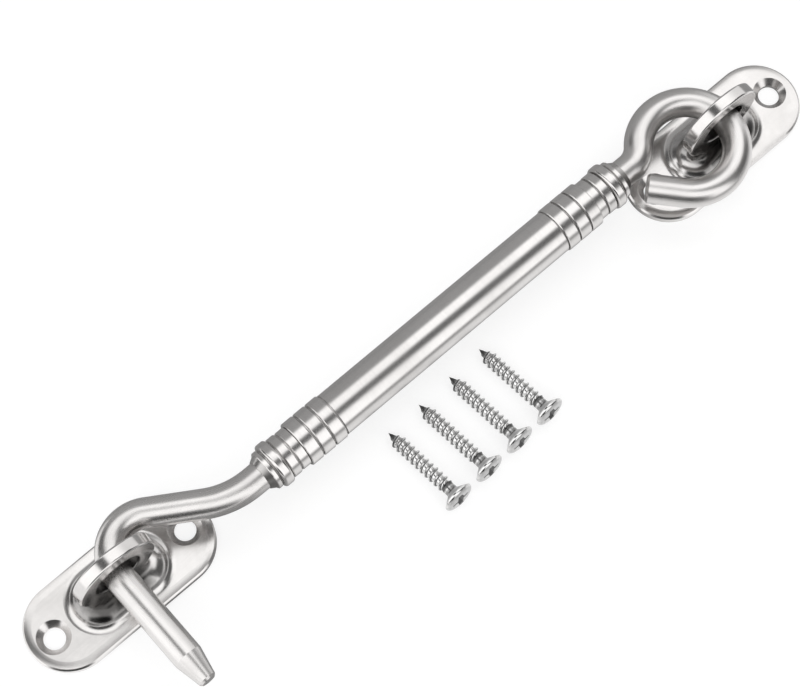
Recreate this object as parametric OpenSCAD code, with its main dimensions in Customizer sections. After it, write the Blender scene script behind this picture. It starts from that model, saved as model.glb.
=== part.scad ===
// Hook and eye latch: a turned grip with a looped end and a hooked end,
// held between two oblong eye plates, with its loose wood screws.
// Units are millimetres. X runs along the hook towards the wall plate,
// Y runs away from the hook's leg, Z stands out of the wall.

/* [Overall] */
// Distance along X between the two eyes
reach = 150; // [110:1:260]
// Diameter of the bent rods
rod_d = 6; // [4:0.1:10]

/* [Hooked end] */
// Straight rod between the grip and the first curve
hook_shank = 3.3; // [1:0.1:10]
// Radius of the first sweeping curve
sweep_r = 18; // [10:0.5:40]
// Straight rod between the sweep and the tight bend
rise_len = 11.3; // [4:0.1:25]
// Radius of the tight bend above the leg
bend_r = 7.5; // [5.5:0.1:14]
// Leg from the end of the bend to the tip
leg_len = 26.5; // [16:0.1:45]
// Length of the leg's tapered tip
tip_len = 6; // [2:0.1:10]
// Share of the rod's diameter left at the tip
tip_share = 0.62; // [0.3:0.01:0.95]

/* [Looped end] */
// Radius of the loop along the middle of the rod
loop_r = 9.9; // [7.8:0.1:16]
// Radius of the neck between the grip and the loop
neck_r = 6; // [4.5:0.1:12]
// Straight rod between the grip and the neck
loop_shank = 3.6; // [1:0.1:12]
// Gap left between the tail's end and the neck
tail_gap = 0.4; // [0.3:0.1:3]

/* [Grip] */
// Diameter of the plain middle of the grip
grip_d = 9.5; // [8.6:0.1:16]
// How far the three end bands stand above the grip
band_rise = 0.25; // [0.1:0.05:0.8]
// Length of each end band
band_len = 3.05; // [1.5:0.05:6]
// Width of the fine turned grooves
groove_w = 0.35; // [0.2:0.05:0.8]
// Wall of the grip's tube
grip_wall = 1.25; // [0.8:0.05:1.6]
// Length of the ferrule that shows beyond the tube
ferrule_len = 8; // [6:0.1:14]
// Length of the ferrule hidden in the tube
spigot_len = 7; // [4:0.5:14]

/* [Eyes] */
// Play between the rod and the eye's hole, each side
eye_play = 2; // [1.4:0.1:4]
// Width of the eye's band
eye_wall = 4; // [2.5:0.1:6]
// Thickness of the eye's band
eye_t = 2.7; // [2:0.1:4]
// How deep the eye's round stands in its boss
eye_sink = 1.6; // [0.8:0.1:2.5]
// Angle below the middle at which the loop rests in its eye
seat_angle = 35; // [10:1:80]

/* [Plates] */
// Thickness of the plate
plate_t = 2; // [1.2:0.1:4]
// Plate beyond each end of the boss
plate_end = 9.5; // [8.5:0.5:20]
// Plate beside the boss, which falls away to the plate's edge
plate_side = 1.75; // [1.7:0.05:8]
// Steepest slope of the plate's edge, in degrees
plate_slope = 18; // [8:1:24]
// Boss beyond each end of the eye's ring
boss_over = 3; // [2:0.1:6]
// Flat of the boss beside each face of the eye's ring
boss_land = 0.7; // [0.3:0.1:4]
// Height of the boss above the plate
boss_rise = 3; // [1.5:0.1:5]
// Steepest slope of the boss's side, in degrees
boss_slope = 60; // [35:1:75]
// Fillet at the boss's foot
boss_fillet = 2; // [0.3:0.1:3]
// Diameter of the screw holes
hole_d = 4.4; // [3:0.1:6]
// Diameter of the countersinks
sink_d = 6.9; // [6.2:0.1:9]
// Distance of each screw hole from the plate's end
hole_edge = 5.25; // [4.8:0.05:8]

/* [Screws] */
// Length of each wood screw
screw_len = 19.6; // [12:0.1:40]
// Diameter of the screw head
screw_head_d = 6.8; // [5:0.1:9]
// Diameter of the screw's core
screw_core_d = 2.8; // [1.8:0.1:3.4]
// Distance between neighbouring screws
screw_pitch = 8.35; // [7.5:0.05:14]
// Angle of the screws to the plates' short side
screw_turn = 3.7; // [0:0.1:20]
// Gap between the grip and the first screw's point
screw_gap = 2.7; // [1:0.1:20]
// Distance of the row's middle from the grip's middle
screw_shift = 8.6; // [-20:0.1:30]
// Step of each screw along its own length
screw_step = 0.39; // [0:0.01:2]
// Number of screws
screw_count = 4; // [2:1:8]

/* [Hidden] */
$fn = 96;
eps = 0.01;
rod_r = rod_d / 2;
rod_edge = 0.07 * rod_d;
clear = 0.3;
slide = 0.02;

// Eye and plate sizes follow the rod
eye_hole = rod_d + 2 * eye_play;
eye_d = eye_hole + 2 * eye_wall;
eye_edge = 0.15 * eye_t;
boss_arc = boss_rise / (1 - cos(boss_slope));
boss_round = boss_arc - boss_fillet;
boss_flat = eye_t / 2 + boss_land;
boss_l = eye_d + 2 * boss_over;
boss_w = 2 * (boss_flat + boss_arc * sin(boss_slope));
boss_top = plate_t + boss_rise;
boss_skin = 0.36 * boss_top;
boss_hollow = boss_flat + 0.5 * boss_round;
plate_l = boss_l + 2 * plate_end;
plate_w = boss_w + 2 * plate_side;
plate_arc = plate_side / sin(plate_slope);
plate_drop = plate_arc * (1 - cos(plate_slope));
plate_edge = 0.12 * plate_t;
hole_pitch = plate_l - 2 * hole_edge;
eye_z = boss_top + eye_d / 2 - eye_sink;
tenon_w = eye_d / 3;
tenon_t = 0.78 * eye_t;
rivet_lip = 0.26 * eye_t;
rivet_t = 0.3 * (boss_top - boss_skin);

// Where the loop rests in the wall eye
slack = eye_play - clear;
slip = slack * cos(seat_angle);
drop = slack * sin(seat_angle);
hook_z = eye_z - drop;
loop_x = slip - loop_r;

// The rods are bent in equal steps
bend_step = atan2(7, 24);
rise_angle = 2 * bend_step;
neck_turn = 3 * bend_step;
neck_fall = 90 - neck_turn;
tail_at = 90 + neck_turn;

// Neck and tail of the loop
axis_offset = (loop_r + neck_r) * sin(neck_fall) - neck_r;
neck_x = loop_x - (loop_r + neck_r) * cos(neck_fall);
tail_head = 180 - neck_turn;
tail_y = -loop_r * sin(tail_at);
tail_room = axis_offset - rod_r - tail_gap - tail_y + rod_r * cos(tail_head);
tail_len = max(1, tail_room / sin(tail_head));

// Grip between the two rods
grip_r = grip_d / 2;
band_r = grip_r + band_rise;
tube_r = grip_r - grip_wall;
band_edge = 0.6 * band_rise;
nose_len = 0.15 * ferrule_len;
bead_edge = 0.07 * ferrule_len;
grip_x1 = neck_x - loop_shank;
sweep_dx = sweep_r * sin(rise_angle);
sweep_dy = sweep_r * (1 - cos(rise_angle));
rise_dx = rise_len * cos(rise_angle);
rise_dy = rise_len * sin(rise_angle);
bend_x = -reach + bend_r;
rise_x = bend_x + bend_r * sin(rise_angle);
sweep_x = rise_x + rise_dx + sweep_dx;
grip_x0 = sweep_x + hook_shank;
tube_x0 = grip_x0 + ferrule_len;
tube_x1 = grip_x1 - ferrule_len;
tube_len = tube_x1 - tube_x0;
rise_y = axis_offset + sweep_dy + rise_dy;
bend_y = rise_y - bend_r * cos(rise_angle);
tip_d = rod_d * tip_share;

// The catch plate stands where the leg begins
catch_y = bend_y + 0.5 * eye_t;

// Wood screws beside the grip
screw_head_len = 0.26 * screw_head_d;
screw_rim = 0.05 * screw_head_d;
screw_crown = 0.12 * screw_head_d;
screw_point = 1.45 * screw_core_d;
screw_tilt = 6;
screw_row = screw_pitch * (screw_count - 1);
screw_x = (tube_x0 + tube_x1) / 2 - screw_row / 2 - screw_shift;
screw_y = axis_offset - grip_r - screw_gap;
screw_z = screw_head_d / 2 - screw_len * sin(screw_tilt);

// Sweeps a half profile round an oblong outline
module oblong(span) {
  for (side = [-1, 1])
    translate([side * span / 2, 0, 0])
      rotate([0, 0, -90 * side])
        rotate_extrude(angle = 180)
          children();
  rotate([90, 0, 90])
    linear_extrude(span, center = true) {
      children();
      mirror([1, 0])
        children();
    }
}

// Half profile with a rounded top corner
module round_top(half, top, r) {
  square([half - r, top]);
  square([half, top - r]);
  intersection() {
    translate([half - r, top - r])
      circle(r);
    square([half, top]);
  }
}

// Half profile of the plate, which falls away to a broken edge
module plate_profile() {
  half = plate_w / 2;
  square([half - plate_side, plate_t]);
  intersection() {
    translate([half - plate_side, plate_t - plate_arc])
      circle(plate_arc);
    polygon([
      [0, 0],
      [half, 0],
      [half, plate_t - plate_drop - plate_edge],
      [half - plate_drop - plate_edge, plate_t],
      [0, plate_t]
    ]);
  }
}

// Half profile of the boss, domed on top and hollowed at its foot
module boss_profile() {
  half = boss_w / 2;
  square([boss_flat, boss_top]);
  intersection() {
    translate([boss_flat, boss_top - boss_round])
      circle(boss_round);
    square([half, boss_top]);
  }
  difference() {
    square([half, plate_t + boss_fillet * (1 - cos(boss_slope))]);
    translate([half, plate_t + boss_fillet])
      circle(boss_fillet);
  }
}

// Rectangle with rounded corners, centred
module round_rect(w, h, r) {
  square([w - 2 * r, h], center = true);
  square([w, h - 2 * r], center = true);
  for (i = [-1, 1], j = [-1, 1])
    translate([i * (w / 2 - r), j * (h / 2 - r)])
      circle(r);
}

// Oblong plate with a pressed boss, two countersunk holes and the eye's slot
module eye_plate() {
  difference() {
    union() {
      oblong(plate_l - plate_w)
        plate_profile();
      oblong(boss_l - boss_w)
        boss_profile();
    }
    translate([0, 0, -eps])
      oblong(boss_l - boss_w)
        round_top(boss_hollow, boss_top - boss_skin + eps, 0.2 * boss_round);
    for (side = [-1, 1])
      translate([side * hole_pitch / 2, 0, 0]) {
        translate([0, 0, -eps])
          cylinder(h = plate_t + 2 * eps, d = hole_d);
        translate([0, 0, plate_t - (sink_d - hole_d) / 2])
          cylinder(h = (sink_d - hole_d) / 2 + eps, d1 = hole_d, d2 = sink_d + 2 * eps);
      }
    translate([-tenon_w / 2 - slide, -tenon_t / 2 - slide, 0])
      cube([tenon_w + 2 * slide, tenon_t + 2 * slide, boss_top + 1]);
  }
}

// Flat ring standing on the boss, with its tenon riveted over underneath
module eye() {
  difference() {
    translate([0, 0, eye_z])
      rotate([90, 0, 0])
        rotate_extrude()
          translate([(eye_hole + eye_wall) / 2, 0])
            round_rect(eye_wall, eye_t, eye_edge);
    translate([-eye_d, -eye_t, boss_top - eye_d])
      cube([2 * eye_d, 2 * eye_t, eye_d]);
  }
  translate([-tenon_w / 2, -tenon_t / 2, boss_top - boss_skin - rivet_t / 2])
    cube([tenon_w, tenon_t, boss_skin + rivet_t / 2 + eye_sink / 2]);
  translate([0, 0, boss_top - boss_skin - rivet_t])
    oblong(tenon_w - tenon_t)
      square([tenon_t / 2 + rivet_lip, rivet_t]);
}

// Straight length of rod along Y
module rod_line(len) {
  rotate([-90, 0, 0])
    cylinder(h = len, d = rod_d);
}

// Length of rod along Y that ends in a taper and a broken edge
module rod_end(len, taper, end_d) {
  rotate([-90, 0, 0])
    rotate_extrude()
      polygon([
        [0, 0],
        [rod_r, 0],
        [rod_r, len - taper],
        [end_d / 2, len - rod_edge],
        [end_d / 2 - rod_edge, len],
        [0, len]
      ]);
}

// Half of the hook's plane on one side of a line at an angle
module half_plane(angle, side, size) {
  rotate([0, 0, angle])
    translate([-size, side > 0 ? 0 : -2 * size, -size])
      cube(2 * size);
}

// Rod bent about the origin, anticlockwise between two angles
module rod_arc(r, start, end) {
  size = 2 * (r + rod_d);
  difference() {
    rotate_extrude()
      translate([r, 0])
        circle(d = rod_d);
    half_plane(start, -1, size);
    half_plane(end, 1, size);
  }
}

// Moves to a point on a bend, where Y runs along the rod
module on_bend(r, angle) {
  rotate([0, 0, angle])
    translate([r, 0, 0])
      children();
}

// Plain stretch of a turned profile, between two heights
module band(r, low, high) {
  translate([0, low])
    square([r, high - low]);
}

// Turned band with both of its edges broken
module broken_band(r, low, high) {
  polygon([
    [0, low],
    [r - band_edge, low],
    [r, low + band_edge],
    [r, high - band_edge],
    [r - band_edge, high],
    [0, high]
  ]);
}

// Turned band with both of its edges rounded
module soft_band(r, low, high, edge) {
  band(r - edge, low, high);
  band(r, low + edge, high - edge);
  for (at = [low + edge, high - edge])
    translate([r - edge, at])
      circle(edge);
}

// Half profile of a ferrule, from its spigot to its nose
module ferrule_profile() {
  difference() {
    union() {
      band(tube_r - slide, -spigot_len, eps);
      broken_band(grip_r * 0.935, 0, ferrule_len * 0.252);
      band(grip_r * 0.85, ferrule_len * 0.24, ferrule_len * 0.305);
      broken_band(grip_r * 0.955, ferrule_len * 0.293, ferrule_len * 0.53);
      band(grip_r * 0.84, ferrule_len * 0.515, ferrule_len * 0.888);
      soft_band(grip_r * 1.045, ferrule_len * 0.557, ferrule_len * 0.842, bead_edge);
      broken_band(grip_r * 0.905, ferrule_len * 0.875, ferrule_len);
      polygon([
        [0, ferrule_len - eps],
        [grip_r * 0.83, ferrule_len - eps],
        [rod_r * 1.07, ferrule_len + nose_len],
        [0, ferrule_len + nose_len]
      ]);
    }
    band(rod_r + slide, -spigot_len - 1, ferrule_len + nose_len + 1);
  }
}

// Half profile of the tube with three bands at each end
module tube_profile() {
  difference() {
    union() {
      band(grip_r, 0, tube_len);
      for (i = [0:2]) {
        broken_band(band_r, i * band_len, (i + 1) * band_len - groove_w);
        broken_band(band_r, tube_len - (i + 1) * band_len + groove_w, tube_len - i * band_len);
      }
    }
    for (i = [1:3], low = [i * band_len - groove_w, tube_len - i * band_len])
      translate([grip_r - band_rise, low])
        square([band_rise * 3, groove_w]);
    band(tube_r, -1, tube_len + 1);
  }
}

module wall_plate() {
  color([0.86, 0.86, 0.87])
    eye_plate();
}

module wall_eye() {
  color([0.84, 0.84, 0.85])
    eye();
}

module catch_plate() {
  color([0.86, 0.86, 0.87])
    translate([-reach, catch_y, 0])
      eye_plate();
}

module catch_eye() {
  color([0.84, 0.84, 0.85])
    translate([-reach, catch_y, 0])
      eye();
}

module grip_tube() {
  color([0.74, 0.74, 0.75])
    translate([tube_x0, axis_offset, hook_z])
      rotate([0, 90, 0])
        rotate_extrude()
          tube_profile();
}

module wall_ferrule() {
  color([0.77, 0.77, 0.78])
    translate([tube_x1, axis_offset, hook_z])
      rotate([0, 90, 0])
        rotate_extrude()
          ferrule_profile();
}

module catch_ferrule() {
  color([0.77, 0.77, 0.78])
    translate([tube_x0, axis_offset, hook_z])
      rotate([0, -90, 0])
        rotate_extrude()
          ferrule_profile();
}

// Rod from the grip round the loop to its cut tail
module loop_rod() {
  color([0.72, 0.72, 0.73])
    translate([loop_x, 0, hook_z]) {
      rod_arc(loop_r, -tail_at, 0);
      rod_arc(loop_r, 0, 180 - neck_fall);
      on_bend(loop_r, -tail_at)
        rotate([0, 0, 180])
          rod_end(tail_len, rod_edge, rod_d);
      on_bend(loop_r, 180 - neck_fall)
        translate([neck_r, 0, 0]) {
          rod_arc(neck_r, 90 + neck_fall, 180);
          on_bend(neck_r, 90 + neck_fall)
            rotate([0, 0, 180])
              rod_line(loop_shank + ferrule_len + spigot_len);
        }
    }
}

// Rod from the grip through the sweep and the bend to the tapered leg
module hook_rod() {
  color([0.72, 0.72, 0.73])
    translate([bend_x, bend_y, hook_z]) {
      rod_arc(bend_r, 90 - rise_angle, 180);
      on_bend(bend_r, 180)
        rod_end(leg_len, tip_len, tip_d);
      on_bend(bend_r, 90 - rise_angle)
        translate([0, -rise_len, 0]) {
          rod_line(rise_len);
          translate([sweep_r, 0, 0]) {
            rod_arc(sweep_r, 180, 180 + rise_angle);
            on_bend(sweep_r, 180 + rise_angle)
              rod_line(hook_shank + ferrule_len + spigot_len);
          }
        }
    }
}

// Countersunk wood screw standing on its point
module wood_screw() {
  difference() {
    rotate_extrude()
      union() {
        polygon([
          [0, 0],
          [screw_core_d / 2, screw_point],
          [screw_core_d / 2, screw_len - screw_head_len],
          [screw_head_d / 2, screw_len - screw_rim],
          [screw_head_d / 2, screw_len],
          [screw_head_d * 0.3, screw_len + screw_crown],
          [0, screw_len + screw_crown * 1.15]
        ]);
      }
    for (turn = [0, 90])
      rotate([0, 0, turn])
        translate([-0.27 * screw_head_d, -0.06 * screw_head_d, screw_len - 0.2 * screw_head_d])
          cube([0.54 * screw_head_d, 0.12 * screw_head_d, screw_head_d]);
  }
}

module mounting_screws() {
  color([0.78, 0.78, 0.79])
    for (i = [0:screw_count - 1])
      translate([screw_x + i * screw_pitch, screw_y + i * screw_step, screw_z])
        rotate([0, 0, screw_turn])
          rotate([90 - screw_tilt, 0, 0])
            wood_screw();
}

wall_plate();
wall_eye();
catch_plate();
catch_eye();
grip_tube();
wall_ferrule();
catch_ferrule();
loop_rod();
hook_rod();
mounting_screws();
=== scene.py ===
"""Looks of a hook and eye latch: steel finishes, threaded wood screws, studio and camera."""

import logging
import math
from dataclasses import dataclass, replace
from enum import Enum
from typing import Mapping, Optional, Sequence, Union

import bmesh
import bpy
from mathutils import Euler, Matrix, Vector


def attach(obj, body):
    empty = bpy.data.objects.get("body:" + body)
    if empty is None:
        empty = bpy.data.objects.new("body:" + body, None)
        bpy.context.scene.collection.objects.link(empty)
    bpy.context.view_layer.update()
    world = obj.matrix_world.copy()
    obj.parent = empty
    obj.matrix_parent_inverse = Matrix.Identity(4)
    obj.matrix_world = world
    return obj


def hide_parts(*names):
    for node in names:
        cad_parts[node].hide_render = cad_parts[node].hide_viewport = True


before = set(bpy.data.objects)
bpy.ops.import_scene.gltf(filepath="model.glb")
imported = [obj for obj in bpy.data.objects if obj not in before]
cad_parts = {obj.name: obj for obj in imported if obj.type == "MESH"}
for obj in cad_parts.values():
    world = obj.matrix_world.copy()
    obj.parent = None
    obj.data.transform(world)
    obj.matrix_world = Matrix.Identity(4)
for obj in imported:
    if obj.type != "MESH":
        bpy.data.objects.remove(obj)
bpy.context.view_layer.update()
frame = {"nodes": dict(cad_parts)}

LOG = logging.getLogger("latch")
MM = 0.001
# Degrees that the camera is turned by about Z
HEADING = -41.3326
BLACK = (0.0, 0.0, 0.0, 1.0)
WHITE = (1.0, 1.0, 1.0, 1.0)

Pair = tuple[float, float]
Colour = tuple[float, float, float]
Point = tuple[float, float, float]
Key = Union[int, str]
Term = Union["Field", float, int, Sequence[float]]


class Body(Enum):
    """Moving groups of the latch."""

    PLATES = "plates"
    HOOK = "hook"


class Slot(Enum):
    """Finishes that the record names."""

    PLATE = "polished_plate"
    EYE = "polished_eye"
    GRIP = "brushed_grip"
    ROD = "satin_rod"
    SCREW = "screw_steel"


class Field:
    """A value that varies over a surface, worked on with plain operators."""

    def __init__(self, recipe: "Recipe", socket: Optional[bpy.types.NodeSocket]) -> None:
        """Keep a socket and the recipe that it belongs to."""
        self.recipe = recipe
        self.socket = socket

    def out(self, key: Key) -> "Field":
        """Another output of the same node."""
        return Field(self.recipe, self.socket.node.outputs[key])

    def __add__(self, other: Term) -> "Field":
        """Sum."""
        return self.recipe.math("ADD", self, other)

    def __radd__(self, other: Term) -> "Field":
        """Sum with the number first."""
        return self.recipe.math("ADD", other, self)

    def __sub__(self, other: Term) -> "Field":
        """Difference."""
        return self.recipe.math("SUBTRACT", self, other)

    def __rsub__(self, other: Term) -> "Field":
        """Difference with the number first."""
        return self.recipe.math("SUBTRACT", other, self)

    def __mul__(self, other: Term) -> "Field":
        """Product."""
        return self.recipe.math("MULTIPLY", self, other)

    def __rmul__(self, other: Term) -> "Field":
        """Product with the number first."""
        return self.recipe.math("MULTIPLY", other, self)

    def __abs__(self) -> "Field":
        """Size without its sign."""
        return self.recipe.math("ABSOLUTE", self)


class Recipe:
    """A node tree that is written node by node."""

    def __init__(self, tree: bpy.types.NodeTree) -> None:
        """Start on an empty tree."""
        tree.nodes.clear()
        self.tree = tree

    def node(
        self,
        kind: str,
        settings: Optional[Mapping[str, object]] = None,
        sockets: Optional[Mapping[Key, Term]] = None,
        out: Key = 0,
    ) -> Field:
        """Add one node.

        Args:
            kind: The node's type.
            settings: The node's own properties, which are set first.
            sockets: Values or links of its inputs.
            out: The output that is handed back.

        Returns:
            The output as a field, or a field of nothing for a node without outputs.
        """
        made = self.tree.nodes.new(kind)
        for name, value in (settings or {}).items():
            setattr(made, name, value)
        for key, value in (sockets or {}).items():
            entry = made.inputs[key]
            if isinstance(value, Field):
                self.tree.links.new(value.socket, entry)
            else:
                entry.default_value = value
        return Field(self, made.outputs[out] if len(made.outputs) else None)

    def math(self, operation: str, *terms: Term) -> Field:
        """A Math node on one value or several."""
        return self.node("ShaderNodeMath", {"operation": operation}, dict(enumerate(terms)))

    def step(self, value: Term, low: float, high: float) -> Field:
        """A soft step.

        Args:
            value: What is compared.
            low: Where the step is 0.
            high: Where the step is 1. It may lie below the other.

        Returns:
            The step, from 0 to 1.
        """
        return self.node(
            "ShaderNodeMapRange",
            {"interpolation_type": "SMOOTHSTEP"},
            {"Value": value, "From Min": low, "From Max": high},
        )

    def step_mm(self, value: Term, ends: Pair) -> Field:
        """A soft step of a place in metres, between two ends in millimetres."""
        return self.step(value, ends[0] * MM, ends[1] * MM)

    def mix(self, share: Term, first: Term, second: Term) -> Field:
        """A colour between two.

        Args:
            share: How much of the second there is.
            first: The colour at a share of 0.
            second: The colour at a share of 1.

        Returns:
            The colour.
        """
        return self.node(
            "ShaderNodeMix",
            {"data_type": "RGBA"},
            {0: share, 6: first, 7: second},
            out=2,
        )

    def vector(self, x: Term, y: Term, z: Term) -> Field:
        """A vector from three values."""
        return self.node("ShaderNodeCombineXYZ", None, {0: x, 1: y, 2: z})

    def split(self, vector: Field) -> tuple[Field, Field, Field]:
        """The three values of a vector."""
        parts = self.node("ShaderNodeSeparateXYZ", None, {0: vector})
        return parts, parts.out(1), parts.out(2)

    def radius(self, first: Field, second: Field) -> Field:
        """Distance from the place where both values are 0."""
        return self.math("SQRT", first * first + second * second)

    def noise(
        self, at: Field, scale: float = 1.0, detail: float = 2.0, roughness: float = 0.5
    ) -> Field:
        """Soft noise from 0 to 1.

        Args:
            at: Where it is read.
            scale: Spots to a metre, times the reach of at.
            detail: Finer layers on top of the first.
            roughness: Strength of those layers.

        Returns:
            The noise.
        """
        return self.node(
            "ShaderNodeTexNoise",
            None,
            {"Vector": at, "Scale": scale, "Detail": detail, "Roughness": roughness},
        )


@dataclass(frozen=True)
class Steel:
    """A bare steel surface: its colour, its gloss, the depth of its grain and the colour of its
    painted shade.

    Depths and places are in millimetres, and a scale counts spots to a metre. Each pair of shares
    is for the clouds of tarnish and for the streaks of the grain.
    """

    name: str
    colour: Colour = (0.68, 0.665, 0.655)
    dull: Colour = (0.57, 0.555, 0.545)
    shade_shares: Pair = (0.55, 0.25)
    gloss: float = 0.2
    gloss_change: float = 0.06
    gloss_shares: Pair = (0.6, 0.4)
    grain_depth: float = 0.0015
    grain_scale: float = 2600.0
    streak_range: Pair = (0.25, 0.75)
    cloud_scale: float = 90.0
    cloud_range: Pair = (0.35, 0.75)
    # Painted shade: a dark colour mixed into the finish where shade falls and where the steel would
    # mirror something dark, with its own change of gloss.
    painted_shade_colour: Colour = (0.16, 0.155, 0.15)
    painted_shade_share: float = 0.45
    painted_shade_gloss: float = 0.2

    def grain(self, recipe: Recipe, at: Field) -> Field:
        """Height of the grain, from 0 to 1.

        Args:
            recipe: The tree that the nodes go into.
            at: Place on the piece, in metres.

        Returns:
            The height.
        """
        return recipe.noise(at, self.grain_scale, detail=3.0)

    def tarnish(self, recipe: Recipe, at: Field) -> Field:
        """Share of the duller colour, from 0 to 1."""
        cloud = recipe.noise(at, self.cloud_scale, detail=4.0, roughness=0.6)
        return recipe.step(cloud, *self.cloud_range)

    def painted_shade(self, recipe: Recipe, at: Field) -> Optional[Field]:
        """Share of painted shade on a finish, from 0 to 1, or nothing where none is painted."""
        return None

    def material(self) -> bpy.types.Material:
        """Write the finish as a material.

        Returns:
            The new material.
        """
        made = bpy.data.materials.new(self.name)
        made.use_nodes = True
        recipe = Recipe(made.node_tree)
        at = recipe.node("ShaderNodeTexCoord", out="Object")
        grain = self.grain(recipe, at)
        tarnish = self.tarnish(recipe, at)
        streak = recipe.step(grain, *self.streak_range)
        cloudy, streaky = self.gloss_shares
        rough = self.gloss + self.gloss_change * (cloudy * tarnish + streaky * streak)
        cloudy, streaky = self.shade_shares
        shade = cloudy * tarnish + streaky * streak
        colour = recipe.mix(shade, (*self.colour, 1.0), (*self.dull, 1.0))
        # Painted shade: the dark colour is mixed into the base colour, and the gloss changed,
        # wherever the finish paints shade.
        painted_shade = self.painted_shade(recipe, at)
        if painted_shade is not None:
            colour = recipe.mix(self.painted_shade_share * painted_shade, colour, (*self.painted_shade_colour, 1.0))
            rough = rough + self.painted_shade_gloss * painted_shade
        bump = recipe.node(
            "ShaderNodeBump",
            None,
            {"Strength": 1.0, "Distance": self.grain_depth * MM, "Height": grain},
        )
        shader = recipe.node(
            "ShaderNodeBsdfPrincipled",
            None,
            {
                "Base Color": colour,
                "Metallic": 1.0,
                "Roughness": rough,
                "Normal": bump,
            },
        )
        recipe.node("ShaderNodeOutputMaterial", None, {"Surface": shader})
        return made


@dataclass(frozen=True)
class TurnedSteel(Steel):
    """Steel turned on a lathe, with fine lines round an axis along X."""

    lines: float = 5200.0
    round_lines: float = 60.0
    axis: Pair = (0.0, 0.0)
    # Radii of the grooves' painted shade, and where it is painted stronger on the front side than
    # on the back.
    groove: Pair = (4.72, 4.58)
    front: Pair = (1.0, -2.0)
    back_share: float = 0.25

    def grain(self, recipe: Recipe, at: Field) -> Field:
        """Lines round the grip, close together along it.

        Args:
            recipe: The tree that the nodes go into.
            at: Place on the piece, in metres.

        Returns:
            The height, from 0 to 1.
        """
        x, y, z = recipe.split(at)
        place = recipe.vector(x * self.lines, y * self.round_lines, z * self.round_lines)
        return recipe.noise(place, detail=3.0, roughness=0.6)

    def painted_shade(self, recipe: Recipe, at: Field) -> Optional[Field]:
        """Painted shade: dark lines down in the turned grooves, painted stronger on the front side
        than on the back.

        Args:
            recipe: The tree that the nodes go into.
            at: Place on the piece, in metres.

        Returns:
            The share of painted shade, from 0 to 1.
        """
        _, y, z = recipe.split(at)
        dy, dz = y - self.axis[0] * MM, z - self.axis[1] * MM
        share = self.back_share + (1.0 - self.back_share) * recipe.step_mm(dy, self.front)
        return share * recipe.step_mm(recipe.radius(dy, dz), self.groove)


@dataclass(frozen=True)
class Bend:
    """One stretch of a bent rod, where the grain runs along it.

    A bend turns about its centre. A straight stretch has no centre and runs at an angle.
    """

    low: Pair
    high: Pair
    centre: Optional[Pair] = None
    angle: float = 0.0


@dataclass(frozen=True)
class DrawnSteel(Steel):
    """Drawn rod, polished along its length before it was bent."""

    bends: tuple[Bend, ...] = ()
    across: float = 4200.0
    along: float = 130.0
    bend_r: float = 8.0
    blur: float = 1.0

    def stretch(self, recipe: Recipe, bend: Bend, x: Field, y: Field, z: Field) -> Field:
        """Grain of one stretch.

        Args:
            recipe: The tree that the nodes go into.
            bend: The stretch.
            x: Place along X, in metres.
            y: Place along Y, in metres.
            z: Place along Z, in metres.

        Returns:
            Noise drawn out along the rod.
        """
        if bend.centre:
            dx = x - bend.centre[0] * MM
            dy = y - bend.centre[1] * MM
            side = recipe.radius(dx, dy)
            run = recipe.math("ARCTAN2", dy, dx) * (self.bend_r * MM)
        else:
            turn = math.radians(bend.angle)
            cos, sin = math.cos(turn), math.sin(turn)
            side = y * cos - x * sin
            run = x * cos + y * sin
        place = recipe.vector(side * self.across, z * self.across, run * self.along)
        return recipe.noise(place, detail=3.0, roughness=0.55)

    def within(self, recipe: Recipe, bend: Bend, x: Field, y: Field) -> Field:
        """Share of a stretch at a place, softly cut at its box.

        Args:
            recipe: The tree that the nodes go into.
            bend: The stretch.
            x: Place along X, in metres.
            y: Place along Y, in metres.

        Returns:
            The share, from 0 to 1.
        """
        share: Term = 1.0
        for low, high, value in zip(bend.low, bend.high, (x, y)):
            share = recipe.step_mm(value, (low - self.blur, low + self.blur)) * share
            share = recipe.step_mm(value, (high + self.blur, high - self.blur)) * share
        return share

    def grain(self, recipe: Recipe, at: Field) -> Field:
        """Lines along the rod, stretch by stretch.

        Args:
            recipe: The tree that the nodes go into.
            at: Place on the piece, in metres.

        Returns:
            The height, from 0 to 1.
        """
        x, y, z = recipe.split(at)
        total: Term = 0.0
        for bend in self.bends:
            lines = self.stretch(recipe, bend, x, y, z)
            total = lines * self.within(recipe, bend, x, y) + total
        return total


@dataclass(frozen=True)
class PressedSteel(Steel):
    """Polished sheet steel with the faint ripple that pressing leaves, near the rings."""

    rings: tuple[Point, ...] = ()
    ripple: float = 420.0
    scratch_across: float = 5200.0
    scratch_along: float = 150.0
    wave_share: float = 0.6
    mark_share: float = 0.4

    def grain(self, recipe: Recipe, at: Field) -> Field:
        """Ripple of the sheet with fine polishing marks on it.

        Args:
            recipe: The tree that the nodes go into.
            at: Place on the piece, in metres.

        Returns:
            The height, from 0 to 1.
        """
        x, y, z = recipe.split(at)
        wave = recipe.noise(at, self.ripple)
        along, across = self.scratch_along, self.scratch_across
        marks = recipe.noise(recipe.vector(x * along, y * across, z * across))
        return self.wave_share * wave + self.mark_share * marks


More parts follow.
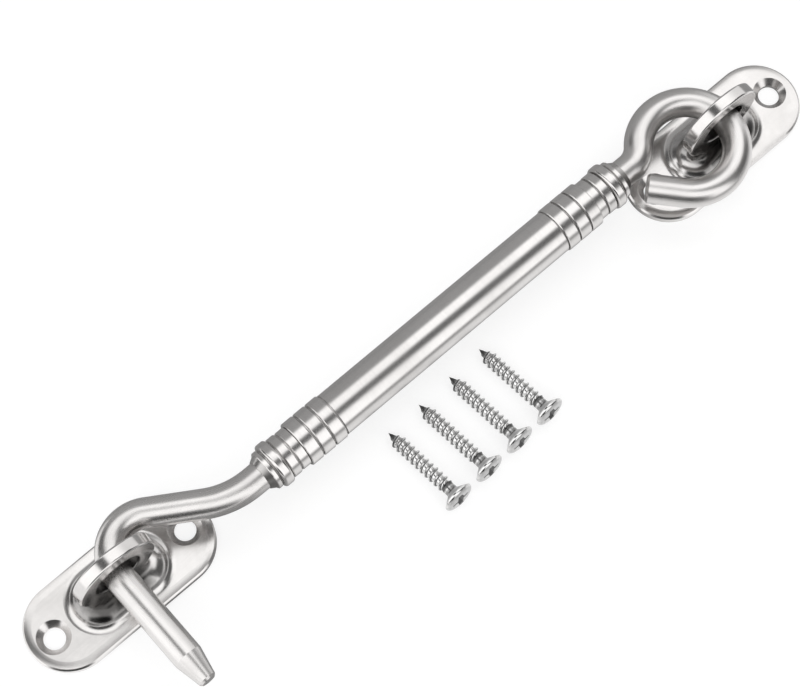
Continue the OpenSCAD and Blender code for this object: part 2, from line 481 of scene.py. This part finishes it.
@dataclass(frozen=True)
class PlateSteel(PressedSteel):
    """Polished plate, with painted shade and a painted dark reflection beside the foot of its ring.
    """

    beside: tuple[Pair, ...] = ((0.0, -0.8), (-2.0, -1.2))
    along: Pair = (10.5, 4.5)
    across: Pair = (7.0, 2.6)
    height: Pair = (2.4, 3.4)
    ragged: float = 2.4
    ragged_scale: float = 420.0

    def painted_shade(self, recipe: Recipe, at: Field) -> Optional[Field]:
        """Painted shade and painted dark reflection beside the ring's foot, on top of the boss,
        with a ragged edge.

        Args:
            recipe: The tree that the nodes go into.
            at: Place on the piece, in metres.

        Returns:
            The share of dirt, from 0 to 1.
        """
        x, y, z = recipe.split(at)
        ragged = recipe.noise(at, self.ragged_scale, detail=3.0)
        stray = (ragged - 0.5) * (self.ragged * MM)
        share: Term = 0.0
        for ring, beside in zip(self.rings, self.beside):
            dx = abs(x - (ring[0] + beside[0]) * MM) + stray
            dy = abs(y - (ring[1] + beside[1]) * MM) + stray
            near = recipe.step_mm(dx, self.along) * recipe.step_mm(dy, self.across)
            share = near + share
        return share * recipe.step_mm(z, self.height)


@dataclass(frozen=True)
class RingSteel(PressedSteel):
    """Polished ring, with painted shade inside its hole."""

    hole_shade: Pair = (6.2, 5.0)

    def painted_shade(self, recipe: Recipe, at: Field) -> Optional[Field]:
        """Painted shade towards the hole of either ring.

        Args:
            recipe: The tree that the nodes go into.
            at: Place on the piece, in metres.

        Returns:
            The share of dirt, from 0 to 1.
        """
        x, _, z = recipe.split(at)
        share: Term = 0.0
        for ring in self.rings:
            radius = recipe.radius(x - ring[0] * MM, z - ring[2] * MM)
            share = recipe.step_mm(radius, self.hole_shade) + share
        return share


@dataclass(frozen=True)
class ScrewSteel(Steel):
    """Bright plated screw, mottled, with painted shade in its thread and recess, a painted dark
    reflection under its head, and darker at its tip and over its crown.
    """

    foot_inner: Pair = (1.14, 1.19)
    foot_outer: Pair = (1.62, 1.37)
    tip: Pair = (2.6, 1.2)
    thread_top: Pair = (17.1, 16.6)
    recess_side: Pair = (2.3, 2.2)
    recess_floor: Pair = (18.6, 18.8)
    recess_mouth: Pair = (20.13, 19.93)
    crown: Pair = (19.6, 20.05)
    crown_share: float = 0.35
    cone_foot: Pair = (16.8, 17.4)
    cone_rim: Pair = (19.4, 18.8)
    cone_share: float = 0.7

    def painted_shade(self, recipe: Recipe, at: Field) -> Optional[Field]:
        """Painted shade at the foot of the thread and in the recess, painted dark reflection under
        the head, darker at the tip and over the crown.

        Args:
            recipe: The tree that the nodes go into.
            at: Place on the piece, in metres.

        Returns:
            The share of the dark colour, from 0 to 1.
        """
        x, y, z = recipe.split(at)
        radius = recipe.radius(x, y)
        foot = recipe.step_mm(radius, self.foot_inner) * recipe.step_mm(radius, self.foot_outer)
        foot = recipe.math("MAXIMUM", foot, recipe.step_mm(z, self.tip))
        thread = foot * recipe.step_mm(z, self.thread_top)
        recess = recipe.step_mm(radius, self.recess_side) * recipe.step_mm(z, self.recess_floor)
        recess = recess * recipe.step_mm(z, self.recess_mouth)
        crown = self.crown_share * recipe.step_mm(z, self.crown)
        cone = recipe.step_mm(z, self.cone_foot) * recipe.step_mm(z, self.cone_rim)
        head = recipe.math("MAXIMUM", crown, self.cone_share * cone)
        return recipe.math("MAXIMUM", thread + recess, head)


def box(piece: bpy.types.Object) -> tuple[Vector, Vector]:
    """Room that a piece takes up.

    Args:
        piece: The piece.

    Returns:
        Its lowest and its highest corner, in millimetres, in its own frame.
    """
    spans = list(zip(*piece.bound_box))
    return Vector([min(span) for span in spans]) / MM, Vector([max(span) for span in spans]) / MM


def dress(piece: bpy.types.Object, finish: bpy.types.Material, body: Body, slot: Slot) -> None:
    """Give a piece one material throughout.

    Args:
        piece: The piece.
        finish: Its material.
        body: The moving group that it belongs to.
        slot: The record's name for its finish.
    """
    if not piece.material_slots:
        piece.data.materials.append(finish)
    for holder in piece.material_slots:
        holder.material = finish
    faces = len(piece.data.polygons)
    LOG.info("%s on %s: %s as %s, %d faces", piece.name, body.value, finish.name, slot.value, faces)


@dataclass
class EyePlates:
    """The two oblong plates and the rings that stand on them."""

    plate: PlateSteel = PlateSteel(
        "polished_plate_steel",
        gloss=0.19,
        # Near-black painted shade and painted reflection beside the rings' feet, left glossy.
        painted_shade_colour=(0.04, 0.038, 0.036),
        painted_shade_share=0.92,
        painted_shade_gloss=-0.05,
    )
    ring: RingSteel = RingSteel(
        "polished_ring_steel",
        gloss=0.13,
        # Dark painted shade inside the rings' holes.
        painted_shade_colour=(0.08, 0.077, 0.074),
        painted_shade_share=0.8,
        painted_shade_gloss=0.08,
    )
    plate_nodes: tuple[str, ...] = ("wall_plate", "catch_plate")
    ring_nodes: tuple[str, ...] = ("wall_eye", "catch_eye")

    def middle(self, ring: bpy.types.Object) -> Point:
        """Middle of a ring, which is as high as it is wide and has a tenon below.

        Args:
            ring: The ring with its tenon.

        Returns:
            The place, in millimetres.
        """
        low, high = box(ring)
        return (low.x + high.x) / 2, (low.y + high.y) / 2, high.z - (high.x - low.x) / 2

    def build(self, nodes: Mapping[str, bpy.types.Object]) -> None:
        """Dress the plates and their rings.

        Args:
            nodes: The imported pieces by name.
        """
        rings = tuple(self.middle(nodes[name]) for name in self.ring_nodes)
        plate = replace(self.plate, rings=rings).material()
        ring = replace(self.ring, rings=rings).material()
        for name in self.plate_nodes:
            dress(nodes[name], plate, Body.PLATES, Slot.PLATE)
        for name in self.ring_nodes:
            dress(nodes[name], ring, Body.PLATES, Slot.EYE)


@dataclass
class Hook:
    """The turned grip with its ferrules and its two bent rods."""

    grip: TurnedSteel = TurnedSteel("turned_grip_steel", gloss=0.17, painted_shade_share=0.75)
    ferrule: TurnedSteel = TurnedSteel(
        "turned_ferrule_steel", gloss=0.17, groove=(4.2, 4.0), painted_shade_share=0.8
    )
    loop: DrawnSteel = DrawnSteel(
        "satin_loop_steel",
        gloss=0.27,
        grain_depth=0.0035,
        bends=(
            Bend((-60.0, -40.0), (-20.0, 40.0)),
            Bend((-20.0, -40.0), (40.0, 40.0), centre=(-8.5, 0.0)),
        ),
    )
    hook: DrawnSteel = DrawnSteel(
        "satin_hook_steel",
        gloss=0.25,
        grain_depth=0.0035,
        bends=(
            Bend((-137.0, -40.0), (-60.0, 40.0), angle=-16.0),
            Bend((-190.0, 7.05), (-137.0, 40.0), centre=(-142.5, 7.05)),
            Bend((-190.0, -60.0), (-137.0, 7.05), angle=90.0),
        ),
    )
    ferrule_nodes: tuple[str, ...] = ("wall_ferrule", "catch_ferrule")

    def build(self, nodes: Mapping[str, bpy.types.Object]) -> None:
        """Dress the grip, the ferrules and the rods.

        Args:
            nodes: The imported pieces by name.
        """
        low, high = box(nodes[self.ferrule_nodes[0]])
        axis = ((low.y + high.y) / 2, (low.z + high.z) / 2)
        grip = replace(self.grip, axis=axis).material()
        dress(nodes["grip_tube"], grip, Body.HOOK, Slot.GRIP)
        ferrule = replace(self.ferrule, axis=axis).material()
        for name in self.ferrule_nodes:
            dress(nodes[name], ferrule, Body.HOOK, Slot.GRIP)
        dress(nodes["loop_rod"], self.loop.material(), Body.HOOK, Slot.ROD)
        dress(nodes["hook_rod"], self.hook.material(), Body.HOOK, Slot.ROD)


@dataclass
class WoodScrews:
    """Four loose wood screws, each with a real thread and a cross recess.

    Sizes are in millimetres. A fillet or an edge is a list of steps outward and upward, from the
    shank's top or from the head's edge. Bevel and dome are shares of the head's radius and crown.
    """

    count: int = 4
    first_tip: Point = (-91.139, -2.973, 1.351)
    pitch: float = 8.35
    advance: float = 0.39
    turn: float = 3.7
    tilt: float = 6.0
    length: float = 19.6
    point: float = 2.9
    plain_tip: float = 0.6
    core_r: float = 1.12
    crest_r: float = 1.66
    shank_r: float = 1.3
    thread_pitch: float = 1.29
    thread_end: float = 16.5
    thread_fade: float = 0.6
    thread_lead: float = 1.5
    ridge: float = 0.26
    ridge_curve: float = 1.6
    ridge_at_tip: float = 0.35
    head_r: float = 3.4
    cone: float = 1.75
    neck: float = 0.25
    fillet: tuple[Pair, ...] = ((0.04, -0.05), (0.22, 0.14))
    edge: tuple[Pair, ...] = ((-0.1, -0.42), (0.0, -0.31), (0.0, -0.1), (-0.02, 0.0))
    bevel: tuple[Pair, ...] = ((0.97, 0.14), (0.93, 0.34), (0.88, 0.52), (0.83, 0.65), (0.77, 0.75))
    dome: tuple[Pair, ...] = ((0.68, 0.84), (0.56, 0.91), (0.42, 0.96), (0.26, 0.985), (0.1, 1.0))
    crown: float = 0.66
    recess_r: float = 2.0
    recess_w: float = 0.5
    recess_floor: float = 1.9
    recess_mouth: float = 0.3
    recess_over: float = 1.0
    recess_flare: Pair = (0.35, 0.12)
    recess_end: Pair = (0.8, 0.3)
    recess_web: float = 1.5
    sides: int = 56
    rows: int = 16
    weld: float = 1e-5
    crease: float = 38.0
    finish: ScrewSteel = ScrewSteel(
        "plated_screw_steel",
        colour=(0.78, 0.775, 0.77),
        dull=(0.4, 0.4, 0.4),
        gloss=0.08,
        grain_depth=0.0006,
        cloud_scale=900.0,
        # Near-black painted shade for the thread and the recess, and painted reflection under the
        # head.
        painted_shade_colour=(0.07, 0.07, 0.07),
        painted_shade_share=0.92,
    )

    def thread(self, phase: float) -> float:
        """Height of the thread's ridge, from 0 to 1, at a share of its pitch."""
        return max(0.0, 1.0 - abs((phase - 0.5) / self.ridge) ** self.ridge_curve)

    def radius(self, z: float, phase: float) -> float:
        """Radius of the shaft.

        Args:
            z: Height above the tip.
            phase: Share of the thread's pitch.

        Returns:
            The radius.
        """
        taper = min(1.0, z / self.point)
        core = self.core_r * taper
        fade = (self.thread_end - z) / (self.thread_fade * self.thread_pitch)
        fade = min(1.0, max(0.0, fade))
        lead = (z - self.plain_tip) / (self.thread_lead * self.thread_pitch)
        lead = min(1.0, max(0.0, lead))
        growth = self.ridge_at_tip + (1.0 - self.ridge_at_tip) * taper
        ridge = (self.crest_r - self.core_r) * fade * lead * growth
        plain = (self.shank_r - self.core_r) * (1.0 - fade)
        return core + plain + ridge * self.thread(phase)

    def head_rows(self) -> list[Pair]:
        """Rings of the head, from the shank to the crown.

        Returns:
            The radius and the height of each ring.
        """
        under = self.length - self.cone
        rings = [(self.shank_r, under - self.neck)]
        rings += [(self.shank_r + out, under + up) for out, up in self.fillet]
        rings += [(self.head_r + out, self.length + up) for out, up in self.edge]
        for share, lift in self.bevel + self.dome:
            rings.append((self.head_r * share, self.length + self.crown * lift))
        return rings

    def shaft(self, work: bmesh.types.BMesh) -> None:
        """Lay the thread along its own helix, so that its crest is one clean edge.

        Args:
            work: The mesh that is being made.
        """
        top = self.length - self.cone - self.neck
        turns = math.ceil(top / self.thread_pitch) + 1
        grid = []
        for row in range(-self.rows, turns * self.rows + 1):
            line = []
            for side in range(self.sides + 1):
                share = side / self.sides
                z = min(top, max(0.0, (row / self.rows + share) * self.thread_pitch))
                r = self.radius(z, row / self.rows % 1.0)
                angle = math.tau * share
                line.append(work.verts.new((r * math.cos(angle), r * math.sin(angle), z)))
            grid.append(line)
        self.skin(work, grid)

    def skin(self, work: bmesh.types.BMesh, grid: Sequence[Sequence[bmesh.types.BMVert]]) -> None:
        """Join neighbouring rows of points with faces.

        Args:
            work: The mesh that is being made.
            grid: Rows of points, all of one length.
        """
        for low, high in zip(grid, grid[1:]):
            for side in range(len(low) - 1):
                work.faces.new((low[side], low[side + 1], high[side + 1], high[side]))

    def head(self, work: bmesh.types.BMesh) -> None:
        """Turn the head and close its crown.

        Args:
            work: The mesh that is being made.
        """
        grid = []
        for r, z in self.head_rows():
            angles = [math.tau * side / self.sides for side in range(self.sides + 1)]
            grid.append([work.verts.new((r * math.cos(a), r * math.sin(a), z)) for a in angles])
        self.skin(work, grid)
        work.faces.new(grid[-1][:-1])

    def cross(self) -> bmesh.types.BMesh:
        """The tapered cross that is pressed into the head.

        Returns:
            The cutter's mesh.
        """
        work = bmesh.new()
        longer, wider = self.recess_flare
        levels = (
            (self.length + self.recess_over, self.recess_r + longer, self.recess_w + wider),
            (self.length + self.recess_mouth, self.recess_r, self.recess_w),
            (self.length + self.crown - self.recess_floor, *self.recess_end),
        )
        loops = []
        for z, reach, half in levels:
            outline = []
            web = half * self.recess_web
            for quarter in range(4):
                spin = Matrix.Rotation(math.tau * quarter / 4, 3, "Z")
                for corner in ((reach, -half), (reach, half), (web, web)):
                    outline.append(work.verts.new(spin @ Vector((*corner, z))))
            loops.append(outline)
        for high, low in zip(loops, loops[1:]):
            for i in range(len(high)):
                j = (i + 1) % len(high)
                work.faces.new((high[j], high[i], low[i], low[j]))
        work.faces.new(loops[0])
        work.faces.new(list(reversed(loops[-1])))
        return work

    def mesh(self) -> bpy.types.Mesh:
        """Make one screw, standing on its tip.

        Returns:
            The finished mesh, in metres.
        """
        work = bmesh.new()
        self.shaft(work)
        self.head(work)
        bmesh.ops.remove_doubles(work, verts=work.verts, dist=self.weld)
        bmesh.ops.dissolve_degenerate(work, edges=work.edges, dist=self.weld)
        bmesh.ops.recalc_face_normals(work, faces=work.faces)
        blank = self.place(work, "screw_blank")
        cutter = self.place(self.cross(), "cross_cutter")
        cut = blank.modifiers.new("recess", "BOOLEAN")
        cut.operation, cut.solver, cut.object = "DIFFERENCE", "EXACT", cutter
        bpy.context.view_layer.update()
        graph = bpy.context.evaluated_depsgraph_get()
        done = bpy.data.meshes.new_from_object(blank.evaluated_get(graph))
        done.name = "wood_screw"
        for scrap in (blank, cutter):
            bpy.data.meshes.remove(scrap.data)
        done.transform(Matrix.Scale(MM, 4))
        done.polygons.foreach_set("use_smooth", [True] * len(done.polygons))
        done.set_sharp_from_angle(angle=math.radians(self.crease))
        return done

    def place(self, work: bmesh.types.BMesh, name: str) -> bpy.types.Object:
        """Put a mesh that is being made into the scene.

        Args:
            work: The mesh, which is used up.
            name: The new object's name.

        Returns:
            The new object.
        """
        data = bpy.data.meshes.new(name)
        work.to_mesh(data)
        work.free()
        made = bpy.data.objects.new(name, data)
        bpy.context.scene.collection.objects.link(made)
        return made

    def build(self) -> None:
        """Lay the screws in their row and let them stand for the plain ones."""
        data = self.mesh()
        data.materials.append(self.finish.material())
        aim = Matrix.Rotation(math.radians(self.turn), 4, "Z")
        aim = aim @ Matrix.Rotation(math.radians(90.0 - self.tilt), 4, "X")
        for index in range(self.count):
            screw = bpy.data.objects.new(f"wood_screw_{index + 1}", data)
            bpy.context.scene.collection.objects.link(screw)
            tip = Vector(self.first_tip) + Vector((self.pitch, self.advance, 0.0)) * index
            screw.matrix_world = Matrix.Translation(tip * MM) @ aim
            screw.visible_glossy = False
            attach(screw, Body.PLATES.value)
            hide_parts("mounting_screws")
            LOG.info("%s: threaded, %d faces", screw.name, len(data.polygons))


@dataclass
class Studio:
    """A white floor under a light tent with a slot overhead for the camera.

    The tent's places are shares of a direction to the right of the camera, away from it and up.
    The floor's places are in millimetres, and its mirrored values are what the steel shows of it:
    painted shade behind and around the latch, painted light in front of the grip and left of the
    hook's leg.
    """

    wall: float = 1.55
    slot: float = 0.12
    slot_middle: float = 0.95
    slot_half: float = 0.17
    slot_edge: float = 0.05
    slot_offset: float = 0.035
    slot_slant: float = 0.2
    slot_side: Pair = (0.22, 0.1)
    rear_slant: float = 0.15
    rear_depth: Pair = (0.68, 0.52)
    rear_side: Pair = (0.75, 0.5)
    back_left: float = 0.42
    back_right: float = 1.05
    back_side: Pair = (0.1, 0.5)
    back_depth: Pair = (0.4, 0.65)
    front_low: float = 0.06
    low_depth: Pair = (-0.68, -0.85)
    low_side: Pair = (0.45, 0.65)
    sill: float = 0.85
    sill_height: Pair = (0.15, 0.0)
    sill_side: Pair = (0.55, 0.7)
    floor_size: float = 8000.0
    floor_gap: float = 0.03
    floor_colour: Colour = (0.36, 0.36, 0.36)
    floor_glow: float = 0.72
    # What the steel mirrors of the floor: painted shade and painted light, set place by place.
    mirrored_back: float = 0.06
    mirrored_front: float = 1.08
    mirrored_far: float = 0.12
    mirrored_left: float = 1.2
    front_x: Pair = (-125.0, -105.0)
    front_y: Pair = (2.0, -10.0)
    far_y: Pair = (-15.0, -80.0)
    left_x: Pair = (-150.0, -163.0)

    def tent(self) -> None:
        """Light the scene from the walls of the tent."""
        world = bpy.data.worlds.new("light_tent")
        world.use_nodes = True
        bpy.context.scene.world = world
        recipe = Recipe(world.node_tree)
        x, y, z = recipe.split(recipe.node("ShaderNodeTexCoord", out="Generated"))
        turn = math.radians(HEADING)
        side = x * math.cos(turn) + y * math.sin(turn)
        depth = y * math.cos(turn) - x * math.sin(turn)
        span = depth + self.slot_offset + self.slot_slant * side
        inner, outer = self.slot_half - self.slot_edge, self.slot_half + self.slot_edge
        front = recipe.step(span, -inner, -outer)
        rear = recipe.step(span, inner, outer) * recipe.step(abs(side), *self.rear_side)
        rear = rear * recipe.step(depth - self.rear_slant * side, *self.rear_depth)
        bright = recipe.math("MAXIMUM", front, rear)
        back = recipe.step(side, *self.back_side)
        back = self.back_left + (self.back_right - self.back_left) * back
        slot = recipe.step(abs(side), *self.slot_side)
        slot = self.slot + (self.slot_middle - self.slot) * slot
        dark = slot + (back - slot) * recipe.step(depth, *self.back_depth)
        level = dark + (self.wall - dark) * bright
        low = recipe.step(depth, *self.low_depth)
        low = low * (1.0 - recipe.step(abs(side), *self.low_side))
        level = level + (self.front_low - level) * low
        sill = recipe.step(z, *self.sill_height) * recipe.step(side, *self.sill_side)
        level = level + (self.sill - level) * sill
        colour = recipe.mix(level * (1.0 / self.wall), BLACK, WHITE)
        shine = recipe.node("ShaderNodeBackground", None, {"Color": colour, "Strength": self.wall})
        recipe.node("ShaderNodeOutputWorld", None, {"Surface": shine})

    def floor(self) -> None:
        """Lay the floor, which shows white and keeps a soft shadow."""
        half = self.floor_size * MM / 2
        data = bpy.data.meshes.new("floor")
        corners = [(-half, -half, 0), (half, -half, 0), (half, half, 0), (-half, half, 0)]
        data.from_pydata(corners, [], [(0, 1, 2, 3)])
        floor = bpy.data.objects.new("floor", data)
        floor.location.z = -self.floor_gap * MM
        bpy.context.scene.collection.objects.link(floor)
        made = bpy.data.materials.new("floor_white")
        made.use_nodes = True
        recipe = Recipe(made.node_tree)
        path = recipe.node("ShaderNodeLightPath", out="Is Camera Ray")
        x, y, _ = recipe.split(recipe.node("ShaderNodeTexCoord", out="Object"))
        # Painted shade and light that only the steel's reflections see: dark behind the latch,
        # bright in front of the grip, darker again further out, bright left of the hook's leg.
        front = recipe.step_mm(y, self.front_y) * recipe.step_mm(x, self.front_x)
        left = recipe.step_mm(x, self.left_x)
        far = recipe.step_mm(y, self.far_y)
        ahead = self.mirrored_front + (self.mirrored_far - self.mirrored_front) * far
        share = self.mirrored_back + (ahead - self.mirrored_back) * front
        share = share + (self.mirrored_left - self.mirrored_back) * left
        seen = path + share * (path.out("Is Glossy Ray") + path.out("Is Transmission Ray"))
        paper = recipe.node(
            "ShaderNodeBsdfPrincipled",
            None,
            {
                "Base Color": (*self.floor_colour, 1.0),
                "Roughness": 1.0,
                "Specular IOR Level": 0.0,
                "Emission Color": recipe.mix(seen * self.floor_glow, BLACK, WHITE),
                "Emission Strength": 1.0,
            },
        )
        recipe.node("ShaderNodeOutputMaterial", None, {"Surface": paper})
        data.materials.append(made)

    def build(self) -> None:
        """Set up the light, the floor and the plain picture."""
        self.tent()
        self.floor()
        bpy.context.scene.view_settings.view_transform = "Standard"


@dataclass
class Camera:
    """The camera of the photograph. Lengths are in millimetres, tilt and roll in degrees."""

    place: Point = (-180.473, -106.379, 455.677)
    tilt: float = 18.865
    roll: float = -0.1375
    lens: float = 108.264
    sensor: float = 36.0
    clip: Pair = (10.0, 50000.0)

    def build(self) -> None:
        """Make the camera and use it."""
        data = bpy.data.cameras.new("camera")
        data.lens, data.sensor_width = self.lens, self.sensor
        data.clip_start, data.clip_end = (reach * MM for reach in self.clip)
        camera = bpy.data.objects.new("camera", data)
        bpy.context.scene.collection.objects.link(camera)
        turn = Euler([math.radians(angle) for angle in (self.tilt, self.roll, HEADING)])
        camera.matrix_world = Matrix.LocRotScale(Vector(self.place) * MM, turn, None)
        bpy.context.scene.camera = camera


def main() -> None:
    """Build the scene piece by piece, then note its size."""
    logging.basicConfig(level=logging.INFO, format="%(name)s: %(message)s")
    Camera().build()
    Studio().build()
    EyePlates().build(frame["nodes"])
    Hook().build(frame["nodes"])
    WoodScrews().build()


if __name__ == "__main__":
    main()
